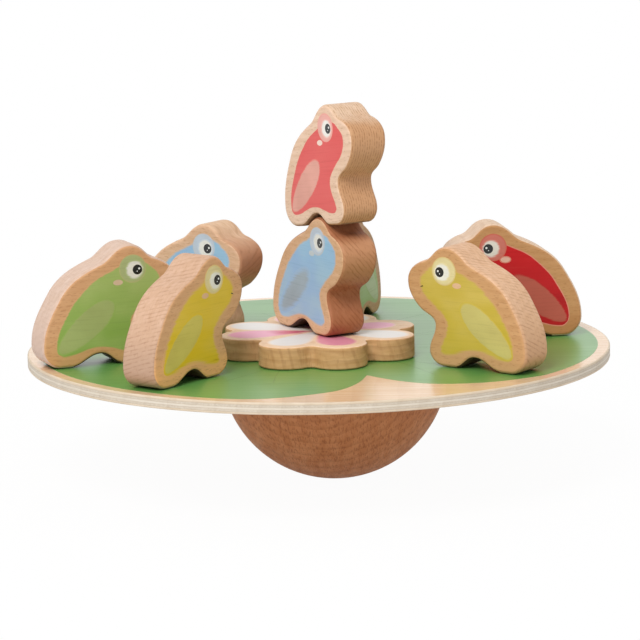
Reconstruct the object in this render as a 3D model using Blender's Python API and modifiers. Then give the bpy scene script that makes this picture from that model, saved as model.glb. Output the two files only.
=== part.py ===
"""Stacking balance game: eight wooden frogs on a lily-pad board that rocks on a turned dome.

Units are metres and +Z is up. The origin is on the table, under the middle of the board.
"""

import math

import bmesh
import bpy
from mathutils import Matrix, Vector
from mathutils.geometry import interpolate_bezier

MM = 0.001

# Gap between pieces that touch or are glued, and round the dowel in its sockets.
SEAT_GAP = 0.3 * MM

# Edges sharper than this stay crisp on pieces that are shaded smooth.
SHARP_ANGLE = math.radians(35)

# Rocker dome, turned from solid beech and fixed a little off the middle of the board.
DOME_RADIUS = 48.9 * MM
DOME_LAND = 2.4 * MM
DOME_FLAT_RADIUS = 9.0 * MM
DOME_TOP_ROUNDING = 0.8 * MM
DOME_X = 6.6 * MM
DOME_Y = -5.0 * MM
DOME_SIDES = 56
DOME_RINGS = 13
DOME_TOP_STEPS = 2

# Dowel glued into the dome and into the underside of the board.
DOWEL_RADIUS = 5.0 * MM
DOWEL_DOME_DEPTH = 20.0 * MM
DOWEL_BOARD_DEPTH = 3.0 * MM
DOWEL_SIDES = 24

# Lily-pad board, plywood.
BOARD_RADIUS = 125.0 * MM
BOARD_THICKNESS = 5.0 * MM
BOARD_ROUNDING = 0.6 * MM
BOARD_SIDES = 96

# Loose flower that lies on the board and carries the stack.
FLOWER_X = 0.3 * MM
FLOWER_Y = -18.0 * MM
FLOWER_RADIUS = 42.8 * MM
FLOWER_THICKNESS = 9.4 * MM
FLOWER_ROUNDING = 0.8 * MM
PETAL_RADIUS = 12.0 * MM
PETAL_VALLEY_RADIUS = 2.5 * MM
PETAL_ARC_STEPS = 9
VALLEY_ARC_STEPS = 3

# Turns of the petals about the flower's middle, in degrees; drawn by hand, so not quite even.
PETAL_TURNS = (21, 65, 110, 156, 194, 244, 285, 336)

# A valley arc and a petal arc together always reach this much past half the way to the next petal.
VALLEY_REACH_SHARE = 1.05

# Frog outline: reach runs forward from the middle of the arch, height up from the feet.
FROG_THICKNESS = 17.0 * MM
FROG_ROUNDING = 1.6 * MM
SNOUT_REACH = 33.4 * MM
SNOUT_HEIGHT = 35.1 * MM
BACK_REACH = -17.9 * MM
BACK_HEIGHT = 29.4 * MM
RUMP_REACH = -25.6 * MM
RUMP_HEIGHT = 8.3 * MM
REAR_FOOT_HEEL = -17.6 * MM
REAR_FOOT_FRONT = -13.2 * MM
ARCH_HEIGHT = 4.8 * MM
FRONT_FOOT_BACK = 9.7 * MM
FRONT_FOOT_TIP = 15.6 * MM
TOE_REACH = 22.7 * MM
TOE_HEIGHT = 6.5 * MM
CHEST_REACH = 19.7 * MM
CHEST_HEIGHT = 17.1 * MM
THROAT_REACH = 27.2 * MM
THROAT_HEIGHT = 23.5 * MM

# Frog's head: from the tip of the snout, each point lies back from the last one and above or below it.
SNOUT_TOP_BACK = 4.0 * MM
SNOUT_TOP_RISE = 6.7 * MM
BROW_BACK = 4.8 * MM
BROW_RISE = 2.2 * MM
FOREHEAD_BACK = 4.0 * MM
FOREHEAD_RISE = 2.9 * MM
CROWN_BACK = 7.0 * MM
CROWN_RISE = 3.3 * MM
NAPE_BACK = 8.6 * MM
NAPE_DROP = 4.1 * MM
SHOULDER_BACK = 4.4 * MM
SHOULDER_DROP = 3.2 * MM

# Share of the distance between two outline points that a curve handle spans.
HANDLE_SHARE = 0.37
FROG_CURVE_STEPS = 5

# Where the frogs stand on the board, and the heading of each snout in degrees.
GREEN_LEFT_X = -94.3 * MM
GREEN_LEFT_Y = -31.2 * MM
GREEN_LEFT_HEADING = 22.1
GREEN_BACK_X = 13.7 * MM
GREEN_BACK_Y = 62.0 * MM
GREEN_BACK_HEADING = 253.7
YELLOW_LEFT_X = -57.7 * MM
YELLOW_LEFT_Y = -74.4 * MM
YELLOW_LEFT_HEADING = 52.6
YELLOW_RIGHT_X = 68.9 * MM
YELLOW_RIGHT_Y = -58.4 * MM
YELLOW_RIGHT_HEADING = 143.2
BLUE_BACK_X = -55.0 * MM
BLUE_BACK_Y = 34.6 * MM
BLUE_BACK_HEADING = -36.1
RED_RIGHT_X = 87.8 * MM
RED_RIGHT_Y = 15.3 * MM
RED_RIGHT_HEADING = 188.9

# The stack: the lower frog's place on the flower, then how the top frog sits on its head.
STACK_X = 0.5 * MM
STACK_Y = 1.1 * MM
STACK_HEADING = -58.7
STACK_REACH = 12.8 * MM
STACK_LEAN = math.radians(7.7)

# Heights of the seats, from the table up.
DOME_CENTRE_Z = math.sqrt(DOME_RADIUS**2 - DOME_FLAT_RADIUS**2)
DOME_TOP_Z = DOME_CENTRE_Z + DOME_LAND
BOARD_BOTTOM_Z = DOME_TOP_Z + SEAT_GAP
BOARD_TOP_Z = BOARD_BOTTOM_Z + BOARD_THICKNESS
DOWEL_BOTTOM_Z = DOME_TOP_Z - DOWEL_DOME_DEPTH
DOWEL_TOP_Z = BOARD_BOTTOM_Z + DOWEL_BOARD_DEPTH

COLOURS = {
    "green": (0.15, 0.32, 0.06),
    "yellow": (0.56, 0.44, 0.05),
    "blue": (0.30, 0.49, 0.70),
    "red": (0.64, 0.10, 0.10),
    "beech": (0.58, 0.34, 0.16),
    "beech_dark": (0.32, 0.14, 0.06),
    "pad_green": (0.12, 0.27, 0.08),
}


def clear_scene():
    for item in list(bpy.data.objects):
        bpy.data.objects.remove(item)


def new_collection(name):
    collection = bpy.data.collections.new(name)
    bpy.context.scene.collection.children.link(collection)
    return collection


def finish(name, colour, roughness):
    material = bpy.data.materials.new(name)
    material.use_nodes = True
    shader = material.node_tree.nodes["Principled BSDF"]
    shader.inputs["Base Color"].default_value = (*COLOURS[colour], 1.0)
    shader.inputs["Roughness"].default_value = roughness
    shader.inputs["Metallic"].default_value = 0.0
    return material


def place(name, data, material, collection, parent):
    item = bpy.data.objects.new(name, data)
    collection.objects.link(item)
    item.parent = parent
    if material:
        data.materials.append(material)
    return item


def smooth(mesh):
    mesh.shade_smooth()
    mesh.set_sharp_from_angle(angle=SHARP_ANGLE)


def cylinder_mesh(name, radius, bottom, top, sides):
    """A capped cylinder between two heights, on the Z axis."""
    form = bmesh.new()
    bmesh.ops.create_cone(
        form,
        cap_ends=True,
        segments=sides,
        radius1=radius,
        radius2=radius,
        depth=top - bottom,
        matrix=Matrix.Translation((0, 0, (bottom + top) / 2)),
    )
    mesh = bpy.data.meshes.new(name)
    form.to_mesh(mesh)
    form.free()
    return mesh


def turned_mesh(name, profile, sides):
    """A profile of (radius, height) points, top to bottom, turned about the Z axis."""
    mesh = bpy.data.meshes.new(name)
    points = [(radius, 0, height) for radius, height in profile]
    edges = [(i, i + 1) for i in range(len(points) - 1)]
    mesh.from_pydata(points, edges, [])
    helper = bpy.data.objects.new(name, mesh)
    bpy.context.scene.collection.objects.link(helper)
    turn = helper.modifiers.new("turn", "SCREW")
    turn.steps = sides
    turn.render_steps = sides
    turn.use_merge_vertices = True
    turn.merge_threshold = 0.00001
    graph = bpy.context.evaluated_depsgraph_get()
    turned = bpy.data.meshes.new_from_object(helper.evaluated_get(graph))
    turned.name = name
    bpy.data.objects.remove(helper)
    smooth(turned)
    return turned


def cut_socket(target, bottom, top, cutters):
    """Bores the dowel's socket on the dome's axis, between two heights."""
    mesh = cylinder_mesh(f"{target.name}_socket", DOWEL_RADIUS + SEAT_GAP, bottom, top, DOWEL_SIDES)
    cutter = place(f"{target.name}_socket", mesh, None, cutters, target.parent)
    cutter.location = (DOME_X, DOME_Y, 0)
    cutter.hide_render = True
    cutter.display_type = "WIRE"
    cut = target.modifiers.new("dowel_socket", "BOOLEAN")
    cut.operation = "DIFFERENCE"
    cut.solver = "EXACT"
    cut.object = cutter


def flat_curve(name, thickness, rounding):
    """A flat outline with rounded edges, centred on its own plane."""
    curve = bpy.data.curves.new(name, "CURVE")
    curve.dimensions = "2D"
    curve.fill_mode = "BOTH"
    curve.extrude = thickness / 2 - rounding
    curve.bevel_depth = rounding
    curve.bevel_resolution = 1
    curve.offset = -rounding
    return curve


# Rocker dome: flat top, short straight land, then a ball down to a small flat to stand on.
def dome_profile():
    points = [(0, DOME_TOP_Z)]
    for step in range(DOME_TOP_STEPS + 1):
        angle = math.radians(90) * (1 - step / DOME_TOP_STEPS)
        points.append((
            DOME_RADIUS - DOME_TOP_ROUNDING * (1 - math.cos(angle)),
            DOME_TOP_Z - DOME_TOP_ROUNDING * (1 - math.sin(angle)),
        ))
    last = math.acos(DOME_FLAT_RADIUS / DOME_RADIUS)
    for ring in range(DOME_RINGS + 1):
        angle = last * ring / DOME_RINGS
        points.append((DOME_RADIUS * math.cos(angle), DOME_CENTRE_Z - DOME_RADIUS * math.sin(angle)))
    points.append((0, 0))
    return points


def make_dome(collection, cutters, parent):
    mesh = turned_mesh("rocker_dome", dome_profile(), DOME_SIDES)
    dome = place("rocker_dome", mesh, finish("turned_beech", "beech_dark", 0.5), collection, parent)
    dome.location = (DOME_X, DOME_Y, 0)
    cut_socket(dome, DOWEL_BOTTOM_Z - SEAT_GAP, BOARD_TOP_Z, cutters)


def make_dowel(collection, parent):
    mesh = cylinder_mesh("dome_dowel", DOWEL_RADIUS, DOWEL_BOTTOM_Z, DOWEL_TOP_Z, DOWEL_SIDES)
    smooth(mesh)
    dowel = place("dome_dowel", mesh, finish("dowel_beech", "beech", 0.6), collection, parent)
    dowel.location = (DOME_X, DOME_Y, 0)


# Board: a plywood disc with eased edges and a blind socket for the dowel in its underside.
def make_board(collection, cutters, parent):
    mesh = cylinder_mesh("lily_pad_board", BOARD_RADIUS, BOARD_BOTTOM_Z, BOARD_TOP_Z, BOARD_SIDES)
    smooth(mesh)
    board = place("lily_pad_board", mesh, finish("pad_print", "pad_green", 0.4), collection, parent)
    ease = board.modifiers.new("eased_edges", "BEVEL")
    ease.width = BOARD_ROUNDING
    ease.segments = 2
    ease.limit_method = "ANGLE"
    cut_socket(board, DOME_CENTRE_Z, DOWEL_TOP_Z + SEAT_GAP, cutters)


# Flower: petal arcs and valley arcs that run into each other without a corner.
def polar(radius, angle):
    return Vector((radius * math.cos(angle), radius * math.sin(angle)))


def arc(centre, radius, start, end, steps):
    return [centre + polar(radius, start + (end - start) * step / steps) for step in range(steps + 1)]


def valley_between(turn, next_turn, petal_centre):
    """Axis, distance, radius and half swing of the valley arc that touches two petal arcs."""
    half_pitch = (next_turn - turn) / 2
    side = petal_centre * math.sin(half_pitch)
    reach = max(PETAL_RADIUS + PETAL_VALLEY_RADIUS, VALLEY_REACH_SHARE * side)
    swing = math.asin(side / reach)
    distance = petal_centre * math.cos(half_pitch) + reach * math.cos(swing)
    return turn + half_pitch, distance, reach - PETAL_RADIUS, swing


def flower_outline():
    petal_centre = FLOWER_RADIUS - PETAL_RADIUS
    turns = [math.radians(turn) for turn in PETAL_TURNS]
    axis, _, _, swing = valley_between(turns[-1] - math.tau, turns[0], petal_centre)
    points = []
    for turn, next_turn in zip(turns, turns[1:] + [turns[0] + math.tau]):
        petal_start = axis - swing
        axis, distance, radius, swing = valley_between(turn, next_turn, petal_centre)
        points += arc(polar(petal_centre, turn), PETAL_RADIUS, petal_start, axis + swing, PETAL_ARC_STEPS)
        facing = axis + math.pi
        valley = arc(polar(distance, axis), radius, facing + swing, facing - swing, VALLEY_ARC_STEPS)
        points += valley[1:-1]
    return points


def make_flower(collection, parent):
    curve = flat_curve("flower", FLOWER_THICKNESS, FLOWER_ROUNDING)
    outline = flower_outline()
    spline = curve.splines.new("POLY")
    spline.points.add(len(outline) - 1)
    spline.use_cyclic_u = True
    for point, (x, y) in zip(spline.points, outline):
        point.co = (x, y, 0, 1)
    flower = place("flower", curve, finish("flower_beech", "beech", 0.5), collection, parent)
    flower.location = (FLOWER_X, FLOWER_Y, BOARD_TOP_Z + SEAT_GAP + FLOWER_THICKNESS / 2)
    return flower


# Frog: one smooth outline through points that give its reach, height and the way it runs there.
def frog_outline():
    reach = SNOUT_REACH
    height = SNOUT_HEIGHT
    head = [(reach, height, 90)]
    for back, rise, run in (
        (SNOUT_TOP_BACK, SNOUT_TOP_RISE, 147),
        (BROW_BACK, BROW_RISE, 163),
        (FOREHEAD_BACK, FOREHEAD_RISE, 134),
        (CROWN_BACK, CROWN_RISE, 180),
        (NAPE_BACK, -NAPE_DROP, 222),
        (SHOULDER_BACK, -SHOULDER_DROP, 202),
    ):
        reach -= back
        height += rise
        head.append((reach, height, run))
    return head + [
        (BACK_REACH, BACK_HEIGHT, 239),
        (RUMP_REACH, RUMP_HEIGHT, 270),
        (REAR_FOOT_HEEL, 0, 0),
        (REAR_FOOT_FRONT, 0, 0),
        (0, ARCH_HEIGHT, 0),
        (FRONT_FOOT_BACK, 0, 0),
        (FRONT_FOOT_TIP, 0, 0),
        (TOE_REACH, TOE_HEIGHT, 90),
        (CHEST_REACH, CHEST_HEIGHT, 90),
        (THROAT_REACH, THROAT_HEIGHT, 42),
    ]


def curve_knots(outline):
    """(point, handle before, handle after) for each outline point."""
    points = [Vector((reach, height, 0)) for reach, height, _ in outline]
    knots = []
    for index, (_, _, run) in enumerate(outline):
        here = points[index]
        way = Vector((math.cos(math.radians(run)), math.sin(math.radians(run)), 0))
        back = HANDLE_SHARE * (here - points[index - 1]).length
        ahead = HANDLE_SHARE * (points[(index + 1) % len(points)] - here).length
        knots.append((here, here - back * way, here + ahead * way))
    return knots


def outline_segments(knots, lean=0.0, shift=0.0):
    """Straight pieces along the outline, leaned about the arch and moved forward."""
    turn = Matrix.Rotation(lean, 3, "Z")
    move = Vector((shift, 0, 0))
    points = []
    for index, (start, _, after) in enumerate(knots):
        end, before, _ = knots[(index + 1) % len(knots)]
        points += interpolate_bezier(start, after, before, end, FROG_CURVE_STEPS + 1)[:-1]
    points = [turn @ point + move for point in points]
    return list(zip(points, points[1:] + points[:1]))


def heights_at(segments, reach):
    """Heights at which the outline crosses one reach."""
    found = []
    for a, b in segments:
        if min(a.x, b.x) <= reach <= max(a.x, b.x) and a.x != b.x:
            found.append(a.y + (b.y - a.y) * (reach - a.x) / (b.x - a.x))
    return found


def stack_lift(knots):
    """Height at which the leaning top frog comes to rest on the head below it."""
    below = outline_segments(knots)
    above = outline_segments(knots, STACK_LEAN, STACK_REACH)
    lifts = []
    for reach in [a.x for a, _ in below + above]:
        tops = heights_at(below, reach)
        bottoms = heights_at(above, reach)
        if tops and bottoms:
            lifts.append(max(tops) - min(bottoms))
    return max(lifts) + SEAT_GAP


def make_frog(name, colour, knots, collection, parent):
    curve = flat_curve(name, FROG_THICKNESS, FROG_ROUNDING)
    curve.resolution_u = FROG_CURVE_STEPS
    spline = curve.splines.new("BEZIER")
    spline.bezier_points.add(len(knots) - 1)
    spline.use_cyclic_u = True
    for point, (here, before, after) in zip(spline.bezier_points, knots):
        point.handle_left_type = "FREE"
        point.handle_right_type = "FREE"
        point.co = here
        point.handle_left = before
        point.handle_right = after
    return place(name, curve, finish(f"{name}_print", colour, 0.45), collection, parent)


def stand_frog(frog, x, y, z, heading):
    """Stands the outline upright, feet at the given height, snout along the heading."""
    frog.location = (x, y, z)
    frog.rotation_euler = (math.radians(90), 0, math.radians(heading))


def make_frogs(collection, parent, flower):
    knots = curve_knots(frog_outline())
    for name, colour, x, y, heading in (
        ("frog_green_left", "green", GREEN_LEFT_X, GREEN_LEFT_Y, GREEN_LEFT_HEADING),
        ("frog_green_back", "green", GREEN_BACK_X, GREEN_BACK_Y, GREEN_BACK_HEADING),
        ("frog_yellow_left", "yellow", YELLOW_LEFT_X, YELLOW_LEFT_Y, YELLOW_LEFT_HEADING),
        ("frog_yellow_right", "yellow", YELLOW_RIGHT_X, YELLOW_RIGHT_Y, YELLOW_RIGHT_HEADING),
        ("frog_blue_back", "blue", BLUE_BACK_X, BLUE_BACK_Y, BLUE_BACK_HEADING),
        ("frog_red_right", "red", RED_RIGHT_X, RED_RIGHT_Y, RED_RIGHT_HEADING),
    ):
        frog = make_frog(name, colour, knots, collection, parent)
        stand_frog(frog, x, y, BOARD_TOP_Z + SEAT_GAP, heading)
    lower = make_frog("frog_blue_stack", "blue", knots, collection, flower)
    stand_frog(lower, STACK_X, STACK_Y, FLOWER_THICKNESS / 2 + SEAT_GAP, STACK_HEADING)
    top = make_frog("frog_red_top", "red", knots, collection, lower)
    top.location = (STACK_REACH, stack_lift(knots), 0)
    top.rotation_euler = (0, 0, STACK_LEAN)


clear_scene()
parts = new_collection("stacking_balance_game")
cutters = new_collection("cutters")
game = bpy.data.objects.new("game_origin", None)
parts.objects.link(game)

make_dome(parts, cutters, game)
make_dowel(parts, game)
make_board(parts, cutters, game)
make_frogs(parts, game, make_flower(parts, game))
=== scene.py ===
"""Looks of a stacking balance game: printed beech frogs on a lily-pad board that rocks on a dome."""
import math

import bmesh
import bpy
from mathutils import Matrix, Vector
from mathutils.geometry import interpolate_bezier


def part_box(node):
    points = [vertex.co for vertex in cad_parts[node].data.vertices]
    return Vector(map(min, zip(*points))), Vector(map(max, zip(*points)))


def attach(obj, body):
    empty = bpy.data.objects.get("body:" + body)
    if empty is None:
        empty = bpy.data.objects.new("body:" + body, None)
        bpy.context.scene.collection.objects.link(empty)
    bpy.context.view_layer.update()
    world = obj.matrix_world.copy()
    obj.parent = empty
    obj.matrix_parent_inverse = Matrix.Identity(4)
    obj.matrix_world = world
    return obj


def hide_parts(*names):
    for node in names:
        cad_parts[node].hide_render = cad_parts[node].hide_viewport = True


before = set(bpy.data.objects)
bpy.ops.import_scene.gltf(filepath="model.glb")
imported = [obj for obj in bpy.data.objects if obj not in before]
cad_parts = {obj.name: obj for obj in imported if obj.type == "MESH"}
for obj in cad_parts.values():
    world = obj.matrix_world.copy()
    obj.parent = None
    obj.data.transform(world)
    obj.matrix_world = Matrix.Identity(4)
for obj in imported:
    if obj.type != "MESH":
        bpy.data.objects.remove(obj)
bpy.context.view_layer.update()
mm = 0.001
scene = bpy.context.scene
scene.view_settings.view_transform = "Standard"


# Rocker dome: half a ball of steamed beech, turned on a lathe, sanded and rubbed with oil.
# It has a short straight land under the board and a small flat at the foot to stand on.
# Glue and a hidden dowel hold it under the board, a little off the middle.
DOME_LAND = 2.4 * mm
DOME_FLAT = 9.0 * mm
DOME_EASE = 0.8 * mm
DOME_SIDES = 192
DOME_RINGS = 64
FAN_DEPTH = 70.0 * mm
EASE_STEPS = 5
LINE_TINT = (0.55, 0.42, 0.32, 1.0)
WOOD_ROUGHNESS = (0.46, 0.62)


def tone(red, green, blue):
    """A colour written in screen values from 0 to 255, in the linear form that shaders take."""
    linear = []
    for value in (red, green, blue):
        share = value / 255
        linear.append(share / 12.92 if share <= 0.04045 else ((share + 0.055) / 1.055) ** 2.4)
    return (*linear, 1.0)


def darker(colour, share):
    """A colour, or a list of tints, with each value cut to that share."""
    return tuple(share * value for value in colour)


def new_finish(name):
    """A material with its node tree and shader."""
    material = bpy.data.materials.new(name)
    material.use_nodes = True
    tree = material.node_tree
    return material, tree, tree.nodes["Principled BSDF"]


def add(tree, kind, settings=None, **sockets):
    """A node with its settings, and sockets that are set or linked; _ in a socket's name is a space."""
    node = tree.nodes.new(kind)
    for key, value in (settings or {}).items():
        setattr(node, key, value)
    for key, value in sockets.items():
        join(tree, value, node.inputs[key.replace("_", " ")])
    return node


def join(tree, value, socket):
    """Links the output of a node to a socket, or sets the socket to a plain value."""
    if isinstance(value, bpy.types.NodeSocket):
        tree.links.new(value, socket)
    else:
        socket.default_value = value


def blend(tree, share, first, second, how="MIX"):
    """Colour between two colours, by a share from 0 to 1."""
    node = tree.nodes.new("ShaderNodeMix")
    node.data_type = "RGBA"
    node.blend_type = how
    for value, index in ((share, 0), (first, 6), (second, 7)):
        join(tree, value, node.inputs[index])
    return node.outputs[2]


def reckon(tree, how, first, second):
    """Two values added, multiplied or otherwise worked out into one."""
    node = tree.nodes.new("ShaderNodeMath")
    node.operation = how
    join(tree, first, node.inputs[0])
    join(tree, second, node.inputs[1])
    return node.outputs[0]


def between(tree, value, low, high, start=0.0, end=1.0):
    """Value stretched so that low to high becomes start to end, with soft ends."""
    return add(
        tree,
        "ShaderNodeMapRange",
        {"interpolation_type": "SMOOTHSTEP"},
        Value=value,
        From_Min=low,
        From_Max=high,
        To_Min=start,
        To_Max=end,
    ).outputs[0]


def object_place(tree):
    return add(tree, "ShaderNodeTexCoord").outputs["Object"]


def streaks(tree, place, per_metre, seed, detail=2.0):
    """Noise drawn out along an axis: per_metre is how often it changes along X, Y and Z."""
    spot = add(
        tree,
        "ShaderNodeMapping",
        Vector=place,
        Location=(seed * 3.7, seed * 1.9, seed * 5.3),
        Scale=per_metre,
    )
    return add(
        tree,
        "ShaderNodeTexNoise",
        Vector=spot.outputs[0],
        Scale=1.0,
        Detail=detail,
        Roughness=0.55,
    ).outputs["Fac"]


def growth_rings(tree, place, pith, axis, gap, wander):
    """Year rings round a pith line; gap is the width of one year."""
    spot = add(tree, "ShaderNodeMapping", Vector=place, Location=tuple(-value for value in pith))
    return add(
        tree,
        "ShaderNodeTexWave",
        {"wave_type": "RINGS", "rings_direction": axis, "wave_profile": "SAW"},
        Vector=spot.outputs[0],
        Scale=math.pi / (10 * gap),
        Distortion=wander,
        Detail=2.0,
        Detail_Scale=0.6,
        Detail_Roughness=0.5,
    ).outputs["Fac"]


def ray_lines(tree, place, turn, gap, seed, breaks):
    """Thin lines of cut rays, one each gap along the turned X axis, with so many breaks a metre."""
    spot = add(tree, "ShaderNodeMapping", Vector=place, Rotation=turn, Location=(seed, seed, seed))
    lines = add(
        tree,
        "ShaderNodeTexWave",
        {"bands_direction": "X"},
        Vector=spot.outputs[0],
        Scale=math.pi / (10 * gap),
        Distortion=2.2,
        Detail=1.0,
        Detail_Scale=0.7,
        Detail_Roughness=0.5,
    ).outputs["Fac"]
    fading = streaks(tree, place, (breaks, breaks, breaks), seed + 0.9)
    return reckon(tree, "MULTIPLY", between(tree, lines, 0.6, 1.0), between(tree, fading, 0.36, 0.62))


def shade_along(tree, base, cloud, painted_shading):
    """The colour turning into painted shading between two heights along an axis, with a wavy border."""
    colour, axis, start, end = painted_shading
    reach = add(tree, "ShaderNodeSeparateXYZ", Vector=object_place(tree)).outputs[axis]
    wavy = reckon(tree, "ADD", reach, between(tree, cloud, 0.2, 0.8, -3 * mm, 3 * mm))
    return blend(tree, between(tree, wavy, start, end), base, colour)


def wood(name, pale, dark, fleck, fibre, dash, rings, seed, dash_cut=(0.6, 0.72), dash_share=0.55,
         ring_share=0.22, lines=None, painted_shading=None, shine=0.2, varnish=0.05, varnish_roughness=0.3,
         relief=0.25, place_of=object_place):
    """Sanded beech: fibre lines, soft year rings and the short dark dashes of its rays.

    Lines (turn, gap, share, breaks) darken the wood; painted shading is (colour, axis, start, end).
    """
    material, tree, skin = new_finish(name)
    place = place_of(tree)
    fibres = streaks(tree, place, fibre, seed, 3.0)
    dashes = streaks(tree, place, dash, seed + 1.3, 1.0)
    cloud = streaks(tree, object_place(tree), (45, 45, 45), seed + 2.1, 2.0)
    years = growth_rings(tree, object_place(tree), *rings)
    dash_mask = between(tree, dashes, *dash_cut)
    base = blend(tree, between(tree, fibres, 0.3, 0.7), pale, dark)
    base = blend(tree, between(tree, cloud, 0.35, 0.7, 0.0, 0.35), base, dark)
    if painted_shading:
        base = shade_along(tree, base, cloud, painted_shading)
    base = blend(tree, between(tree, years, 0.35, 1.0, 0.0, ring_share), base, fleck)
    base = blend(tree, reckon(tree, "MULTIPLY", dash_mask, dash_share), base, fleck)
    height = reckon(tree, "SUBTRACT", fibres, dash_mask)
    if lines:
        turn, gap, share, breaks = lines
        mask = ray_lines(tree, place, turn, gap, seed, breaks)
        base = blend(tree, reckon(tree, "MULTIPLY", mask, share), base, LINE_TINT, "MULTIPLY")
        height = reckon(tree, "SUBTRACT", height, mask)
    bump = add(tree, "ShaderNodeBump", Strength=relief, Distance=0.08 * mm, Height=height)
    join(tree, base, skin.inputs["Base Color"])
    join(tree, between(tree, fibres, 0.3, 0.7, *WOOD_ROUGHNESS), skin.inputs["Roughness"])
    join(tree, bump.outputs[0], skin.inputs["Normal"])
    skin.inputs["Specular IOR Level"].default_value = shine
    skin.inputs["Coat Weight"].default_value = varnish
    skin.inputs["Coat Roughness"].default_value = varnish_roughness
    return material


def lathe(name, profile, sides, slots=None):
    """Closed mesh of a profile of (radius, height) points turned about Z, from axis to axis."""
    form = bmesh.new()
    rings = []
    for radius, height in profile:
        if radius < 1e-7:
            rings.append([form.verts.new((0, 0, height))])
            continue
        turn = [2 * math.pi * side / sides for side in range(sides)]
        rings.append([form.verts.new((radius * math.cos(a), radius * math.sin(a), height)) for a in turn])
    for index, (low, high) in enumerate(zip(rings, rings[1:])):
        for side in range(sides):
            corners = [low[side % len(low)], low[(side + 1) % len(low)],
                       high[(side + 1) % len(high)], high[side % len(high)]]
            face = form.faces.new(list(dict.fromkeys(corners)))
            face.material_index = slots[index] if slots else 0
    return mesh_of(name, form)


def mesh_of(name, form):
    """The mesh of a form in progress, with its faces turned outwards."""
    bmesh.ops.recalc_face_normals(form, faces=form.faces)
    mesh = bpy.data.meshes.new(name)
    form.to_mesh(mesh)
    form.free()
    return mesh


def piece(name, mesh, materials, smooth=True):
    """An object of a mesh and its materials, with soft normals that keep the flats flat."""
    for material in materials:
        mesh.materials.append(material)
    item = bpy.data.objects.new(name, mesh)
    scene.collection.objects.link(item)
    if smooth:
        mesh.shade_smooth()
        item.modifiers.new("flat_faces_stay_flat", "WEIGHTED_NORMAL")
    return item


def quarter_round(radius, height, ease, start, steps=EASE_STEPS):
    """Points of an eased corner whose arc has its centre at (radius, height)."""
    turns = [math.radians(start + 90 * step / steps) for step in range(steps + 1)]
    return [(radius + ease * math.cos(a), height + ease * math.sin(a)) for a in turns]


dome_low, dome_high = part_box("rocker_dome")
dome_radius = (dome_high.x - dome_low.x) / 2
dome_middle = (dome_low + dome_high) / 2
ball_centre = dome_high.z - DOME_LAND
foot_turn = math.acos(DOME_FLAT / dome_radius)
dome_profile = [(0, dome_low.z)]
for ring in range(DOME_RINGS + 1):
    angle = foot_turn * (1 - ring / DOME_RINGS)
    dome_profile.append((dome_radius * math.cos(angle), ball_centre - dome_radius * math.sin(angle)))
dome_profile += quarter_round(dome_radius - DOME_EASE, dome_high.z - DOME_EASE, DOME_EASE, 0)
dome_profile.append((0, dome_high.z))


def fanned_place(tree):
    """Places on the dome spread so that the rays fan out upwards from a point below the table."""
    axes = add(tree, "ShaderNodeSeparateXYZ", Vector=object_place(tree)).outputs
    rise = reckon(tree, "ADD", axes["Z"], FAN_DEPTH)
    spread = reckon(tree, "MULTIPLY", reckon(tree, "DIVIDE", axes["X"], rise), FAN_DEPTH)
    return add(tree, "ShaderNodeCombineXYZ", X=spread, Y=axes["Y"], Z=axes["Z"]).outputs[0]


steamed_beech = wood(
    "steamed_beech",
    pale=tone(198, 137, 90),
    dark=tone(181, 118, 73),
    fleck=tone(116, 62, 34),
    fibre=(420, 90, 110),
    dash=(2400, 300, 620),
    rings=((-8 * mm, 0, 70 * mm), "Y", 3.4 * mm, 4.0),
    seed=0.4,
    dash_cut=(0.5, 0.68),
    dash_share=0.42,
    ring_share=0.2,
    # Painted shadow of the board: the dome darkens towards its top.
    painted_shading=(tone(176, 113, 70), "Z", 22 * mm, 46 * mm),
    varnish=0.12,
    varnish_roughness=0.4,
    place_of=fanned_place,
)
dome = piece("turned_dome", lathe("turned_dome", dome_profile, DOME_SIDES), [steamed_beech])
dome.location = (dome_middle.x, dome_middle.y, 0)
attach(dome, "rocker")
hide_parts("rocker_dome")


# Dowel: a short round beech pin, glued into blind sockets in the dome and the board.
# Nothing of it shows once the two are together, so the solid itself stays and gets its wood.
dowel_beech = wood(
    "dowel_beech",
    pale=tone(214, 172, 128),
    dark=tone(188, 142, 98),
    fleck=tone(140, 92, 56),
    fibre=(1200, 1200, 60),
    dash=(1100, 1100, 260),
    rings=((20 * mm, 6 * mm, 0), "Z", 2.2 * mm, 0.8),
    seed=1.1,
    varnish=0.0,
)
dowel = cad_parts["dome_dowel"]
dowel.data.materials.clear()
dowel.data.materials.append(dowel_beech)


# Board: a disc of five-ply birch, its edge sanded to a small round that shows the plies.
# The top is printed with a green lily pad inside a bare rim, and has a bare notch at the front.
# A clear gloss lacquer covers the print and the bare wood of the top.
BOARD_EASE = 0.6 * mm
BOARD_SIDES = 320
GLUE_HALF = 0.07 * mm
GLUE_DEPTH = 0.05 * mm
PRINT_RIM = 5.2 * mm
PRINT_FOOT = 0.02 * mm
PRINT_TOP = 0.05 * mm
PRINT_SLOPE = 0.02 * mm
VEIN_TOP = 0.065 * mm
PRINT_ROUGHNESS = (0.42, 0.55)
CURVE_HANDLE = 0.37
RADIAL_STEPS = 240

board_low, board_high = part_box("lily_pad_board")
board_radius = (board_high.x - board_low.x) / 2
board_top = board_high.z
BOTTOM_VENEER, OUTER_PLY, LONG_PLY, CROSS_PLY, GLUE, TOP_VENEER = range(6)
plies = [OUTER_PLY, CROSS_PLY, LONG_PLY, CROSS_PLY, OUTER_PLY]
ply = (board_high.z - board_low.z) / len(plies)

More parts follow.
